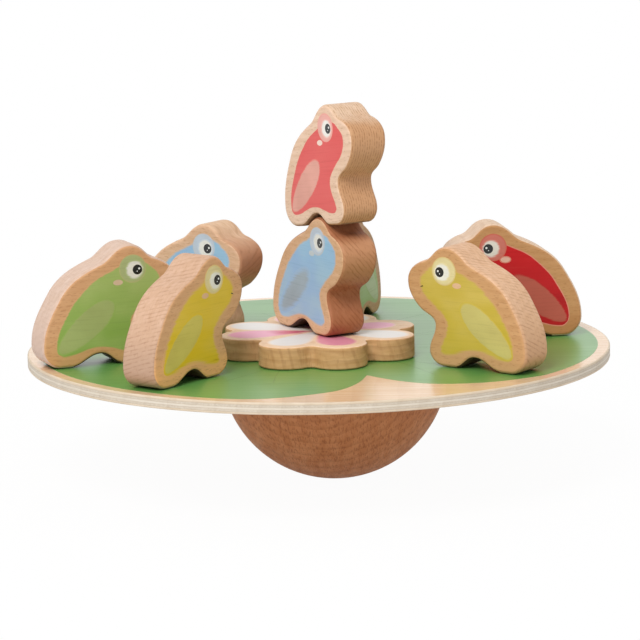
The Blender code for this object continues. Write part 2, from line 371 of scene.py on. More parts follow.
board_profile = [(0, board_low.z)]
board_slots = [BOTTOM_VENEER]
corner = quarter_round(board_radius - BOARD_EASE, board_low.z + BOARD_EASE, BOARD_EASE, 270)
board_profile += corner
board_slots += [OUTER_PLY] * len(corner)
for layer in range(1, len(plies)):
    seam = board_low.z + layer * ply
    board_profile += [
        (board_radius, seam - GLUE_HALF),
        (board_radius - GLUE_DEPTH, seam - GLUE_HALF / 2),
        (board_radius - GLUE_DEPTH, seam + GLUE_HALF / 2),
        (board_radius, seam + GLUE_HALF),
    ]
    board_slots += [GLUE, GLUE, GLUE, plies[layer]]
corner = quarter_round(board_radius - BOARD_EASE, board_top - BOARD_EASE, BOARD_EASE, 0)
board_profile += corner
board_slots += [OUTER_PLY] * (len(corner) - 1) + [TOP_VENEER]
board_profile.append((0, board_top))


def birch(name, pale, dark, fleck, fibre, dash, seed, dash_share=0.3, shine=0.2, varnish=0.0,
          varnish_roughness=0.2):
    """One veneer of the board, with its own fibres and dashes and the year rings of the whole log."""
    return wood(
        name,
        pale,
        dark,
        fleck,
        fibre,
        dash,
        rings=((0.3, 0.05, -0.02), "Y", 9 * mm, 3.0),
        seed=seed,
        dash_share=dash_share,
        ring_share=0.12,
        shine=shine,
        varnish=varnish,
        varnish_roughness=varnish_roughness,
        relief=0.15,
    )


board_wood = [
    birch("birch_underside", tone(226, 200, 166), tone(206, 174, 136), tone(166, 128, 90),
          (18, 700, 700), (140, 900, 900), 2.2),
    birch("birch_outer_ply", tone(219, 203, 182), tone(209, 191, 166), tone(180, 156, 128),
          (90, 90, 2600), (200, 200, 2400), 2.7, 0.2),
    birch("birch_long_ply", tone(222, 213, 199), tone(212, 201, 183), tone(184, 167, 146),
          (90, 90, 2600), (200, 200, 2400), 2.9, 0.2),
    birch("birch_cross_ply", tone(211, 200, 184), tone(198, 185, 167), tone(168, 149, 127),
          (1200, 1200, 1500), (900, 900, 1500), 3.4, 0.2),
    birch("ply_glue_line", tone(200, 184, 164), tone(186, 168, 146), tone(154, 132, 110),
          (200, 200, 400), (150, 150, 300), 3.9),
    birch("birch_top", tone(236, 204, 165), tone(226, 187, 145), tone(196, 152, 110),
          (14, 620, 620), (120, 800, 800), 4.3, shine=0.5, varnish=1.0, varnish_roughness=0.2),
]
board = piece("plywood_board", lathe("plywood_board", board_profile, BOARD_SIDES, board_slots), board_wood)
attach(board, "rocker")
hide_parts("lily_pad_board")


def ink(name, colour, shade, grain=(50, 1300, 1300), seed=0.0, mottle=(70, 70, 70), fade=None, worn=None,
        under=None, painted_shading=None, show=0.16, shine=0.2, varnish=0.06, varnish_roughness=0.25):
    """Print on bare wood that the fibres and pores show through.

    The colour turns to its shade in soft clouds or, with a fade, from one height along Y to another.
    In places it looks worn, and where the film thins out at its edge, the colour under it comes through.
    Painted shading turns that colour as it turns the wood's.
    """
    material, tree, skin = new_finish(name)
    place = object_place(tree)
    fibres = streaks(tree, place, grain, seed, 2.0)
    cloud = streaks(tree, place, mottle, seed + 0.7, 2.0)
    speck = streaks(tree, place, (1500, 1500, 1500), seed + 1.9, 0.0)
    share = between(tree, cloud, 0.3, 0.72)
    if fade:
        height = add(tree, "ShaderNodeSeparateXYZ", Vector=place).outputs["Y"]
        wavy = reckon(tree, "ADD", height, between(tree, cloud, 0.2, 0.8, -4 * mm, 4 * mm))
        share = between(tree, wavy, *fade)
    base = blend(tree, share, colour, shade)
    if worn:
        patches = streaks(tree, place, (60, 90, 90), seed + 3.1, 1.0)
        base = blend(tree, between(tree, patches, 0.35, 0.75, 0.0, 0.45), base, worn)
    base = blend(tree, between(tree, fibres, 0.5, 0.75, 0.0, show), base, darker(shade, 0.55))
    base = blend(tree, between(tree, speck, 0.64, 0.78, 0.0, 0.5 * show), base, darker(shade, 0.6))
    if painted_shading:
        under = shade_along(tree, under, streaks(tree, place, (45, 45, 45), seed + 2.1, 2.0), painted_shading)
    if under:
        cover = add(tree, "ShaderNodeAttribute", {"attribute_name": "cover"}).outputs["Fac"]
        ragged = reckon(tree, "ADD", cover, between(tree, fibres, 0.2, 0.8, -0.2, 0.2))
        base = blend(tree, between(tree, ragged, 0.1, 0.9), under, base)
    bump = add(tree, "ShaderNodeBump", Strength=0.12, Distance=0.05 * mm, Height=fibres)
    join(tree, base, skin.inputs["Base Color"])
    join(tree, between(tree, fibres, 0.3, 0.7, *PRINT_ROUGHNESS), skin.inputs["Roughness"])
    join(tree, bump.outputs[0], skin.inputs["Normal"])
    skin.inputs["Specular IOR Level"].default_value = shine
    skin.inputs["Coat Weight"].default_value = varnish
    skin.inputs["Coat Roughness"].default_value = varnish_roughness
    return material


def film(form, outline, low, high, slot=0, inner=None):
    """Adds a thin closed plate of ink between two heights to a form in progress.

    From an inner outline to its edge it slopes down and its cover falls to nothing.
    """
    cover = form.verts.layers.float.get("cover") or form.verts.layers.float.new("cover")
    lower = [form.verts.new((x, y, low)) for x, y in outline]
    rim = high - math.copysign(PRINT_SLOPE, high - low) if inner else high
    rings = [lower, [form.verts.new((x, y, rim)) for x, y in outline]]
    if inner:
        rings.append([form.verts.new((x, y, high)) for x, y in inner])
    for vert in rings[-1] if inner else lower + rings[1]:
        vert[cover] = 1.0
    faces = [form.faces.new(rings[-1]), form.faces.new(lower[::-1])]
    for inward, outward in zip(rings[1:], rings):
        for index in range(len(outline)):
            corners = (outward[index - 1], outward[index], inward[index], inward[index - 1])
            faces.append(form.faces.new(corners))
    for face in faces:
        face.material_index = slot


def grown(outline, border):
    """The outline moved outwards by a border."""
    points = []
    for index, (x, y) in enumerate(outline):
        before = Vector(outline[index - 1])
        after = Vector(outline[(index + 1) % len(outline)])
        way = (after - before).normalized()
        points.append((x + border * way.y, y - border * way.x))
    return points


def way_of(turn):
    """The way that a turn in degrees points, on the flat."""
    angle = math.radians(turn)
    return Vector((math.cos(angle), math.sin(angle), 0))


def smooth_run(knots, closed=True, steps=12):
    """Points of a curve through (x, y, run in degrees) knots."""
    points = []
    ends = knots[1:] + knots[:1] if closed else knots[1:]
    for (x, y, run), (next_x, next_y, next_run) in zip(knots, ends):
        here = Vector((x, y, 0))
        there = Vector((next_x, next_y, 0))
        span = CURVE_HANDLE * (there - here).length
        after = here + span * way_of(run)
        before = there - span * way_of(next_run)
        points += [(p.x, p.y) for p in interpolate_bezier(here, after, before, there, steps + 1)[:-1]]
    if not closed:
        points.append(knots[-1][:2])
    return points


# Each lobe of the pad rounds in from the print's circle to the tip of the notch.
print_radius = board_radius - PRINT_RIM
LOBE_LEFT_TURN = 249
LOBE_RIGHT_TURN = -40
NOTCH_TIP = (19.5 * mm, -70.0 * mm)


def on_print_edge(turn):
    angle = math.radians(turn)
    return print_radius * math.cos(angle), print_radius * math.sin(angle)


pad_outline = []
for step in range(RADIAL_STEPS):
    pad_outline.append(on_print_edge(
        LOBE_RIGHT_TURN + (LOBE_LEFT_TURN - LOBE_RIGHT_TURN) * step / RADIAL_STEPS))
pad_outline += smooth_run([
    (*on_print_edge(LOBE_LEFT_TURN), LOBE_LEFT_TURN + 90),
    (-8.0 * mm, -110.6 * mm, 27),
    (10.5 * mm, -97.0 * mm, 58),
    (*NOTCH_TIP, 80),
], closed=False, steps=14)[:-1]
pad_outline += smooth_run([
    (*NOTCH_TIP, -48),
    (38.0 * mm, -87.0 * mm, -32),
    (57.0 * mm, -91.3 * mm, 2),
    (*on_print_edge(LOBE_RIGHT_TURN), LOBE_RIGHT_TURN + 74),
], closed=False, steps=14)[:-1]

pad_green = ink(
    "pad_green_ink",
    tone(100, 158, 76),
    tone(84, 142, 62),
    grain=(22, 700, 700),
    seed=5.1,
    mottle=(16, 16, 16),
    show=0.1,
    shine=0.5,
    varnish=0.75,
    varnish_roughness=0.29,
)
form = bmesh.new()
film(form, pad_outline, board_top - PRINT_FOOT, board_top + PRINT_TOP)
pad_print = piece("pad_print", mesh_of("pad_print", form), [pad_green], smooth=False)
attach(pad_print, "rocker")

# Veins: faint darker lines of ink, printed over the green.
# They leave the middle of the pad and fork on their way out.
VEIN_COUNT = 9
VEIN_START = 12.0 * mm
VEIN_FORK = 37.0 * mm
VEIN_END = 86.0 * mm
VEIN_FORK_TURN = 12.0
VEIN_FIRST_TURN = -109.5
VEIN_SPAN_TURN = 300
VEIN_ROOT_WIDTH = 0.91 * mm
VEIN_FORK_WIDTH = 0.7 * mm
VEIN_TIP_WIDTH = 0.28 * mm
VEIN_BOW = 1.2 * mm
VEIN_STEPS = 10


def vein(form, start, end, start_width, end_width, bow):
    """A tapered line from one point to another, bowed sideways."""
    way = (end - start).normalized()
    side = Vector((-way.y, way.x))
    edge_left = []
    edge_right = []
    for step in range(VEIN_STEPS + 1):
        share = step / VEIN_STEPS
        spot = start.lerp(end, share) + side * bow * 4 * share * (1 - share)
        half = (start_width + (end_width - start_width) * share) / 2
        edge_left.append(spot + side * half)
        edge_right.append(spot - side * half)
    film(form, edge_right + edge_left[::-1], board_top, board_top + VEIN_TOP)


form = bmesh.new()
for count in range(VEIN_COUNT):
    turn = VEIN_FIRST_TURN - count * VEIN_SPAN_TURN / (VEIN_COUNT - 1)
    way = Vector((math.cos(math.radians(turn)), math.sin(math.radians(turn))))
    fork = VEIN_FORK * way
    vein(form, VEIN_START * way, fork, VEIN_ROOT_WIDTH, VEIN_FORK_WIDTH, 0.0)
    for hand in (-1, 1):
        swing = math.radians(turn + hand * VEIN_FORK_TURN)
        tip = fork + (VEIN_END - VEIN_FORK) * Vector((math.cos(swing), math.sin(swing)))
        vein(form, fork, tip, VEIN_FORK_WIDTH, VEIN_TIP_WIDTH, -hand * VEIN_BOW)
vein_green = ink(
    "vein_green_ink",
    tone(80, 136, 60),
    tone(70, 124, 50),
    grain=(22, 700, 700),
    seed=5.1,
    show=0.1,
    shine=0.5,
    varnish=0.75,
    varnish_roughness=0.29,
)
veins = piece("pad_veins", mesh_of("pad_veins", form), [vein_green], smooth=False)
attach(veins, "rocker")


# Flower: a loose block of beech, sawn to eight round petals, sanded and printed on top.
# White and pink drops alternate, the pink ones deeper towards the middle, with bare wood between.
PETAL_TURNS = (21, 65, 110, 156, 194, 244, 285, 336)
PINK, WHITE, SHADED_PINK = range(3)
# The pink drop at the front is darker all over: painted shadow of the frog that stands on the flower.
DROP_INKS = (PINK, WHITE, PINK, WHITE, PINK, WHITE, SHADED_PINK, WHITE)
DROP_SCALES = (0.87, 1.0, 1.0, 1.04, 1.0, 0.97, 0.95, 1.02)
FLOWER_RADIUS = 42.8 * mm
PETAL_RADIUS = 12.0 * mm
VALLEY_RADIUS = 2.5 * mm
FLOWER_EASE = 0.8 * mm
EDGE_FINISH_SHARE = 0.8
FLOWER_X = 0.3 * mm
FLOWER_Y = -18.0 * mm
PETAL_STEPS = 24
VALLEY_STEPS = 8
DROP_TIP = 1.5 * mm
DROP_WAIST = (17.0 * mm, 6.4 * mm)
DROP_BELLY = (30.2 * mm, 9.3 * mm)
DROP_END = 40.2 * mm
DROP_SOFT = 2.0 * mm
BLUSH_START = 10.0 * mm
BLUSH_END = 25.0 * mm
BLUSH_RADIUS = 16.0 * mm
BLUSH_SOFT = 5.0 * mm
BARE_FACE = (238, 208, 176)


def rounded_slab(name, outline, thickness, ease, steps=4):
    """A flat outline cut from a board of that thickness, with its edges rounded over.

    The edge, up to a share of the rounding, is of the first finish and the faces are of the second.
    """
    flank = thickness / 2 - ease
    profile = quarter_round(-ease, -flank, ease, 270, steps) + quarter_round(-ease, flank, ease, 0, steps)
    form = bmesh.new()
    rings = []
    for border, height in profile:
        rings.append([form.verts.new((x, y, height)) for x, y in grown(outline, border)])
    form.faces.new(rings[0][::-1]).material_index = 1
    form.faces.new(rings[-1]).material_index = 1
    for low, high in zip(rings, rings[1:]):
        on_face = abs(low[0].co.z + high[0].co.z) / 2 > flank + EDGE_FINISH_SHARE * ease
        for index in range(len(outline)):
            side = form.faces.new((low[index - 1], low[index], high[index], high[index - 1]))
            side.material_index = 1 if on_face else 0
    return mesh_of(name, form)


def polar(radius, angle):
    return Vector((radius * math.cos(angle), radius * math.sin(angle)))


def arc(centre, radius, start, end, steps):
    return [centre + polar(radius, start + (end - start) * step / steps) for step in range(steps + 1)]


def valley_between(turn, next_turn):
    """Axis, distance and half swing of the valley arc that touches two petal arcs."""
    half_pitch = (next_turn - turn) / 2
    swing = math.asin(petal_centre * math.sin(half_pitch) / (PETAL_RADIUS + VALLEY_RADIUS))
    distance = petal_centre * math.cos(half_pitch) + (PETAL_RADIUS + VALLEY_RADIUS) * math.cos(swing)
    return turn + half_pitch, distance, swing


petal_centre = FLOWER_RADIUS - PETAL_RADIUS
petal_axes = [math.radians(turn) for turn in PETAL_TURNS]
valley_axis, _, swing = valley_between(petal_axes[-1] - math.tau, petal_axes[0])
flower_outline = []
for axis, next_axis in zip(petal_axes, petal_axes[1:] + [petal_axes[0] + math.tau]):
    petal_start = valley_axis - swing
    valley_axis, distance, swing = valley_between(axis, next_axis)
    flower_outline += arc(
        polar(petal_centre, axis), PETAL_RADIUS, petal_start, valley_axis + swing, PETAL_STEPS)
    inward = valley_axis + math.pi
    flower_outline += arc(
        polar(distance, valley_axis), VALLEY_RADIUS, inward + swing, inward - swing, VALLEY_STEPS)[1:-1]

flower_low, flower_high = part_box("flower")
flower_thickness = flower_high.z - flower_low.z
flower_middle = Vector((FLOWER_X, FLOWER_Y, (flower_low.z + flower_high.z) / 2))
flower_edge = wood(
    "flower_beech_edge",
    pale=tone(218, 172, 126),
    dark=tone(202, 154, 106),
    fleck=tone(146, 92, 50),
    fibre=(120, 120, 600),
    dash=(1300, 1300, 240),
    rings=((0.0, 0.3, -2.0), "X", 4.0 * mm, 3.6),
    seed=6.2,
    ring_share=0.24,
    dash_share=0.2,
    lines=((math.radians(8), math.radians(14), math.radians(15)), 3.6 * mm, 0.32, 70),
)
flower_face = wood(
    "flower_beech_face",
    pale=tone(242, 214, 184),
    dark=tone(228, 194, 158),
    fleck=tone(184, 136, 92),
    fibre=(40, 1200, 1200),
    dash=(260, 1000, 1000),
    rings=((0.0, 0.3, -2.0), "X", 4.0 * mm, 3.6),
    seed=6.2,
    dash_share=0.25,
)
flower = piece(
    "flower_block",
    rounded_slab("flower_block", flower_outline, flower_thickness, FLOWER_EASE),
    [flower_edge, flower_face],
)
flower.location = flower_middle
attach(flower, "flower_block")
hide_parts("flower")


def drop_outline(axis, scale, border=0.0):
    """A drop, or a border inside it: its round end in a petal, its point near the flower's middle."""
    waist, half_waist = DROP_WAIST
    belly, half_belly = DROP_BELLY
    turn = Matrix.Rotation(axis, 2)
    outline = smooth_run([
        (DROP_TIP + 3 * border, 0, -20),
        (waist, border - half_waist, -16),
        (belly, border - half_belly, 2),
        (DROP_END - border, 0, 90),
        (belly, half_belly - border, 178),
        (waist, half_waist - border, 196),
    ], steps=8)
    return [tuple(scale * (turn @ Vector(point))) for point in outline]


def blushed_ink(name, outer, inner):
    """Ink that deepens from a petal's round end to the middle of the flower, with bare wood at its edge."""
    material, tree, skin = new_finish(name)
    place = object_place(tree)
    away = add(tree, "ShaderNodeVectorMath", {"operation": "LENGTH"}, Vector=place).outputs["Value"]
    cloud = streaks(tree, place, (160, 160, 160), 6.6, 2.0)
    fibres = streaks(tree, place, (40, 1200, 1200), 6.2, 2.0)
    wavy = reckon(tree, "ADD", away, between(tree, cloud, 0.2, 0.8, -3 * mm, 3 * mm))
    base = blend(tree, between(tree, wavy, BLUSH_START, BLUSH_END), inner, outer)
    base = blend(tree, between(tree, fibres, 0.5, 0.75, 0.0, 0.12), base, darker(inner, 0.7))
    cover = add(tree, "ShaderNodeAttribute", {"attribute_name": "cover"}).outputs["Fac"]
    base = blend(tree, cover, tone(*BARE_FACE), base)
    bump = add(tree, "ShaderNodeBump", Strength=0.12, Distance=0.05 * mm, Height=fibres)
    join(tree, base, skin.inputs["Base Color"])
    join(tree, between(tree, fibres, 0.3, 0.7, 0.4, 0.52), skin.inputs["Roughness"])
    join(tree, bump.outputs[0], skin.inputs["Normal"])
    skin.inputs["Specular IOR Level"].default_value = 0.3
    skin.inputs["Coat Weight"].default_value = 0.2
    skin.inputs["Coat Roughness"].default_value = 0.25
    return material


petal_inks = [
    blushed_ink("petal_pink_ink", tone(244, 174, 196), tone(208, 96, 120)),
    blushed_ink("petal_white_ink", tone(229, 226, 222), tone(228, 216, 211)),
    # A darker copy of the pink ink for the front drop: painted shadow.
    blushed_ink("petal_shaded_pink_ink", tone(222, 144, 166), tone(204, 90, 114)),
]
form = bmesh.new()
face_height = flower_thickness / 2
for axis, scale, colour in zip(petal_axes, DROP_SCALES, DROP_INKS):
    film(form, drop_outline(axis, scale), face_height - PRINT_FOOT, face_height + PRINT_TOP, colour,
         drop_outline(axis, scale, DROP_SOFT))
blush, blush_middle = [arc(Vector((0, 0)), radius, 0, math.tau, PETAL_STEPS)[:-1]
                       for radius in (BLUSH_RADIUS, BLUSH_RADIUS - BLUSH_SOFT)]
film(form, blush, face_height - PRINT_FOOT, face_height + PRINT_TOP / 2, inner=blush_middle)
petals = piece("petal_print", mesh_of("petal_print", form), petal_inks, smooth=False)
petals.location = flower_middle
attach(petals, "flower_block")


# Their arch and the faces that look down carry painted shade.
# Frogs: eight loose figures sawn from one beech outline, rounded over and sanded.
# Both faces carry the same print: a coloured body with a pale thigh, an eye under a pale lid, a
# blush on the cheek and, on some, a mark for the mouth. Six stand on the board, two make the stack.
FROG_THICKNESS = 17.0 * mm
FROG_EASE = 1.6 * mm
SEAT_GAP = 0.3 * mm
FROG_OUTLINE = [
    (33.4, 35.1, 90),
    (29.4, 41.8, 147),
    (24.6, 44.0, 163),
    (20.6, 46.9, 134),
    (13.6, 50.2, 180),
    (5.0, 46.1, 222),
    (0.6, 42.9, 202),
    (-17.9, 29.4, 239),
    (-25.6, 8.3, 270),
    (-17.6, 0.0, 0),
    (-13.2, 0.0, 0),
    (0.0, 4.8, 0),
    (9.7, 0.0, 0),
    (15.6, 0.0, 0),
    (22.7, 6.5, 90),
    (19.7, 17.1, 90),
    (27.2, 23.5, 42),
]
ARCH_BACK = -12.6 * mm
ARCH_FRONT = 9.2 * mm
ARCH_TOP = 7.0 * mm
FACING_DOWN = -0.9
# Share of the edge colour kept in the arch and on the faces that look down: painted shade.
ARCH_SHADE = (0.42, 0.36, 0.32)
# Each face turns to its foot colour from 16 mm down to 3 mm: painted shade, and painted light where the
# foot is paler.
FOOT_REACH = ("Y", 16 * mm, 3 * mm)
BODY_OUTLINE = [
    (26.8, 35.2, 92),
    (22.4, 41.0, 137),
    (14.0, 43.2, 180),
    (6.5, 40.2, 205),
    (-4.4, 34.2, 222),
    (-13.8, 23.6, 240),
    (-19.6, 9.0, 268),
    (-16.2, 4.7, 0),
    (-8.0, 6.3, 18),
    (-0.8, 7.7, 0),
    (6.6, 6.4, -19),
    (14.0, 4.9, 0),
    (17.0, 7.2, 105),
    (13.5, 17.0, 92),
    (18.6, 24.2, 42),
    (25.0, 29.7, 55),
]
BROW_KNOTS = 3
THIGH_CENTRE = (-6.3, 16.6)
THIGH_LONG = 16.3
THIGH_WIDE = 6.0
THIGH_TURN = 39.4
THIGH_EGG = 0.16
THIGH_SOFT = 1.1
THIGH_TAPER = 1.6
CHEEK = (8.2, 34.5, 2.3, 1.3)
CHEEK_SOFT = 0.25
MOUTH_OUTLINE = [
    (26.6, 32.6, 150),
    (25.2, 33.3, 185),
    (25.1, 32.9, 0),
]
OVAL_STEPS = 48
HALO = 0.35
CHEEK_HALO = 0.25
BODY_STAND = 0.03
THIGH_STAND = 0.06
CHEEK_STAND = 0.07
MOUTH_STAND = 0.08
HALO_STAND = 0.008
CHEEK_HALO_STAND = 0.045
BODY_INK, THIGH_INK, LID_INK, CHEEK_INK, HALO_INK, WHITE_INK, GLINT_INK, BLACK_INK = range(8)
# Rings of the eye: middle and radius, soft border, ink, and stand off the wood, in millimetres.
EYE_RINGS = [
    ((14.1, 40.1, 6.0), 0.9, LID_INK, 0.06),
    ((15.0, 39.6, 4.3), 1.5, WHITE_INK, 0.09),
    ((16.2, 39.6, 2.1), 0.0, BLACK_INK, 0.11),
    ((17.0, 40.0, 0.45), 0.0, GLINT_INK, 0.13),
    ((16.1, 38.9, 0.24), 0.0, GLINT_INK, 0.13),
]


def oval(x, y, half_wide, half_high=None):
    """An oval or, without a height of its own, a circle."""
    half_high = half_high or half_wide
    turns = [2 * math.pi * step / OVAL_STEPS for step in range(OVAL_STEPS)]
    return [(x + half_wide * math.cos(a), y + half_high * math.sin(a)) for a in turns]


def egg(centre, half_long, half_wide, turn, swell):
    """An oval that is fuller towards the end its long axis points to."""
    points = []
    for step in range(OVAL_STEPS):
        angle = 2 * math.pi * step / OVAL_STEPS
        along = half_long * math.cos(angle)
        across = half_wide * math.sin(angle) * (1 + swell * math.cos(angle))
        way = Vector((math.cos(math.radians(turn)), math.sin(math.radians(turn))))
        points.append((
            centre[0] + along * way.x - across * way.y,
            centre[1] + along * way.y + across * way.x,
        ))
    return points


def frog_print(inks, eye):
    """Each print shape and what it fully covers, with its ink and its stand off the wood in millimetres.

    The eye is printed last and lands a little to one side, by a different amount on each frog.
    """
    soft = inks["soft"]
    brow = inks.get("brow", BODY_OUTLINE[:BROW_KNOTS])
    body = grown(smooth_run(brow + BODY_OUTLINE[BROW_KNOTS:]), inks.get("spread", soft / 4))
    shapes = [(body, grown(body, -soft), BODY_INK, BODY_STAND)]
    thigh, thigh_middle = [
        egg(THIGH_CENTRE, THIGH_LONG - THIGH_TAPER * border, THIGH_WIDE - border, THIGH_TURN, THIGH_EGG)
        for border in (0, inks.get("thigh_soft", THIGH_SOFT))
    ]
    shapes.append((thigh, thigh_middle, THIGH_INK, THIGH_STAND))
    x, y, half_wide, half_high = CHEEK
    cheek = oval(x, y, half_wide, half_high)
    cheek_middle = oval(x, y, half_wide - CHEEK_SOFT, half_high - CHEEK_SOFT)
    shapes.append((cheek, cheek_middle, CHEEK_INK, CHEEK_STAND))
    for (x, y, radius), soft, colour, stand in EYE_RINGS:
        spot = (x + eye[0], y + eye[1])
        inner = oval(*spot, radius - soft) if soft else None
        shapes.append((oval(*spot, radius), inner, colour, stand))
    if "halo" in inks:
        shapes.append((grown(body, HALO), None, HALO_INK, HALO_STAND))
        shapes.append((grown(cheek, CHEEK_HALO), None, HALO_INK, CHEEK_HALO_STAND))
    if "mouth" in inks:
        shapes.append((smooth_run(MOUTH_OUTLINE, steps=6), None, BLACK_INK, MOUTH_STAND))
    return shapes


eye_glint = ink("eye_glint_ink", tone(236, 236, 234), tone(224, 226, 226), seed=7.1, show=0.06)
eye_black = ink("eye_black_ink", tone(30, 32, 34), tone(18, 20, 22), seed=7.3, show=0.2, varnish=0.6)


def in_metres(outline):
    return [(x * mm, y * mm) for x, y in outline]


def tinted(colour, red, green, blue):
    return tone(red * colour[0], green * colour[1], blue * colour[2])


def frog_wood(name, face, foot, edge, lines, painted_shading, arch_shade, seed):
    """Three finishes of one block: its edge with the rays, its printed face and the arch in painted shade.
    """
    edge_wood = wood(
        f"{name}_edge",
        pale=tone(*edge),
        dark=tinted(edge, 0.96, 0.94, 0.91),
        fleck=tinted(edge, 0.74, 0.64, 0.54),
        fibre=(200, 200, 900),
        dash=(420, 420, 1500),
        rings=((0.02, -0.05, 0.03), "X", 3.2 * mm, 2.0),
        seed=seed,
        dash_share=0.22,
        ring_share=0.08,
        lines=lines,
        painted_shading=painted_shading,
    )
    face_wood = wood(
        f"{name}_face",
        pale=tone(*face),
        dark=tinted(face, 0.96, 0.94, 0.91),
        fleck=tinted(face, 0.78, 0.68, 0.58),
        fibre=(90, 700, 700),
        dash=(420, 1900, 900),
        rings=((0.02, -0.05, 0.03), "X", 3.2 * mm, 2.0),
        seed=seed,
        dash_cut=(0.57, 0.7),
        dash_share=0.42,
        ring_share=0.12,
        painted_shading=foot,
    )
    arch_wood = wood(
        f"{name}_arch",
        pale=tinted(edge, *arch_shade),
        dark=tinted(edge, *darker(arch_shade, 0.85)),
        fleck=tinted(edge, *darker(arch_shade, 0.6)),
        fibre=(300, 300, 900),
        dash=(500, 500, 1500),
        rings=((0.02, -0.05, 0.03), "X", 3.2 * mm, 2.0),
        seed=seed,
    )
    return [edge_wood, face_wood, arch_wood]


def frog_inks(name, inks, face, foot, seed):
    """The inks of one frog in the order of their numbers, each with what shows through at its edge."""
    lid_ground = [(2 * lid + print_value + wood_value) / 4
                  for lid, print_value, wood_value in zip(inks["lid"], inks["body"], face)]
    thigh_ground = [0.7 * low + 0.3 * worn for low, worn in zip(inks["low"], inks["worn"])]
    grounds = {
        "thigh": thigh_ground,
        "lid": lid_ground,
        "cheek": inks["body"],
        "halo": face,
        "white": inks["lid"],
    }
    finishes = [ink(
        f"{name}_body_ink",
        tone(*inks["low"]),
        tone(*inks["body"]),
        seed=seed,
        fade=BODY_FADE,
        worn=tone(*inks["worn"]),
        under=tone(*inks["halo"]) if "halo" in inks else tinted(face, 0.98, 0.97, 0.95),
        painted_shading=None if "halo" in inks else foot,
    )]
    for shape, ground in grounds.items():
        colour = inks.get(shape, inks["body"])
        finishes.append(ink(
            f"{name}_{shape}_ink",
            tone(*colour),
            tinted(colour, 0.95, 0.94, 0.93),
            seed=seed,
            under=tone(*ground),
        ))
    return finishes + [eye_glint, eye_black]


def frog(name, body, matrix, face, edge, inks, seed, lines,
         painted_shading=None, foot=None, arch_shade=ARCH_SHADE, eye=(0, 0)):
    """One frog: its wooden body, and the print on both faces in the colours given.

    Painted shading turns its edge into one colour along an axis, and its faces into the foot's colour.
    """
    foot = (tone(*(foot or face)), *FOOT_REACH)
    outline = in_metres(smooth_run(FROG_OUTLINE, steps=14))
    mesh = rounded_slab(f"{name}_wood", outline, FROG_THICKNESS, FROG_EASE, EASE_STEPS)
    # The arch and the faces that look down take the third finish, darkened with painted shade.
    for side in mesh.polygons:
        in_arch = ARCH_BACK < side.center.x < ARCH_FRONT and side.center.y < ARCH_TOP
        if side.material_index == 0 and (in_arch or side.normal.y < FACING_DOWN):
            side.material_index = 2
    figure = piece(f"{name}_wood", mesh, frog_wood(name, face, foot, edge, lines, painted_shading, arch_shade, seed))
    figure.matrix_world = matrix
    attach(figure, body)
    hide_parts(name)
    half = FROG_THICKNESS / 2
    form = bmesh.new()
    for side in (-1, 1):
        for shape, inner, colour, stand in frog_print(inks, eye):
            film(form, in_metres(shape), side * (half - PRINT_FOOT), side * (half + stand * mm), colour,
                 in_metres(inner) if inner else None)
    mesh = mesh_of(f"{name}_print", form)
    prints = piece(f"{name}_print", mesh, frog_inks(name, inks, face, foot, seed), smooth=False)
    prints.matrix_world = matrix
    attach(prints, body)


def standing(x, y, height, heading):
    """Place of an upright frog: feet at that height, snout along the heading in degrees."""
    turn = Matrix.Rotation(math.radians(heading), 4, "Z") @ Matrix.Rotation(math.radians(90), 4, "X")
    return Matrix.Translation((x * mm, y * mm, height)) @ turn


BODY_FADE = (10 * mm, 42 * mm)

# The inks of each colour. The body is low at the foot, body at the head and worn in places. Soft,
# thigh_soft and spread are how wide the print's edges blur and how far it reaches, in millimetres.
GREEN = {
    "worn": (172, 186, 116),
    "body": (158, 178, 102),
    "low": (138, 168, 82),
    "thigh": (164, 176, 112),
    "lid": (172, 182, 128),
    "cheek": (214, 186, 158),
    "white": (234, 232, 222),
    "mouth": True,
    "soft": 0.9,
}
YELLOW = {
    "worn": (212, 190, 106),
    "body": (197, 173, 78),
    "low": (194, 169, 54),
    "thigh": (200, 188, 114),
    "lid": (220, 206, 154),
    "cheek": (218, 178, 140),
    "white": (234, 232, 222),
    "mouth": True,
    "soft": 2.0,
}
BLUE = {
    "worn": (136, 168, 218),
    "body": (152, 191, 219),
    "low": (164, 190, 210),
    "thigh": (160, 174, 184),
    "lid": (192, 204, 220),
    "cheek": (198, 206, 212),
    "white": (234, 234, 230),
    "soft": 1.5,
    "spread": 1.1,
    "thigh_soft": 3.2,
}
RED = {
    "worn": (202, 30, 34),
    "body": (194, 20, 26),
    "low": (170, 20, 26),
    "thigh": (186, 92, 76),
    "lid": (206, 118, 104),
    "cheek": (226, 178, 158),
    "white": (230, 224, 214),
    "halo": (220, 142, 120),
    "soft": 0.15,
    "brow": [
        (24.0, 31.0, 92),
        (20.0, 36.6, 150),
        (14.0, 41.0, 180),
    ],
}
PALE_RED = {
    "worn": (222, 104, 100),
    "body": (218, 90, 88),
    "low": (222, 98, 96),
    "thigh": (228, 166, 152),
    "lid": (234, 174, 164),
    "cheek": (242, 218, 204),
    "white": (238, 234, 228),
    "soft": 0.4,
}
WARM_YELLOW = YELLOW | {
    "worn": (220, 190, 84),
    "body": (214, 184, 58),
    "low": (220, 184, 32),
    "thigh": (208, 192, 98),
    "soft": 2.6,
}
# A paler copy of the green inks for the frog at the back, with painted haze and light.
PAINTED_LIGHT_GREEN = GREEN | {
    "body": (182, 202, 146),
    "low": (172, 197, 130),
    "thigh": (193, 207, 161),
}

# The way that the cut rays run over each frog's edge.
ACROSS_BACK = (0, 0, math.radians(-45))
ACROSS_CHEST = (0, 0, math.radians(-90))
ALONG_OUTLINE = (0, math.radians(90), 0)
SLANTED = (0, math.radians(40), math.radians(-50))
RISING = (0, math.radians(-60), math.radians(-70))
SLANTED_BACK = (0, math.radians(-70), math.radians(-40))
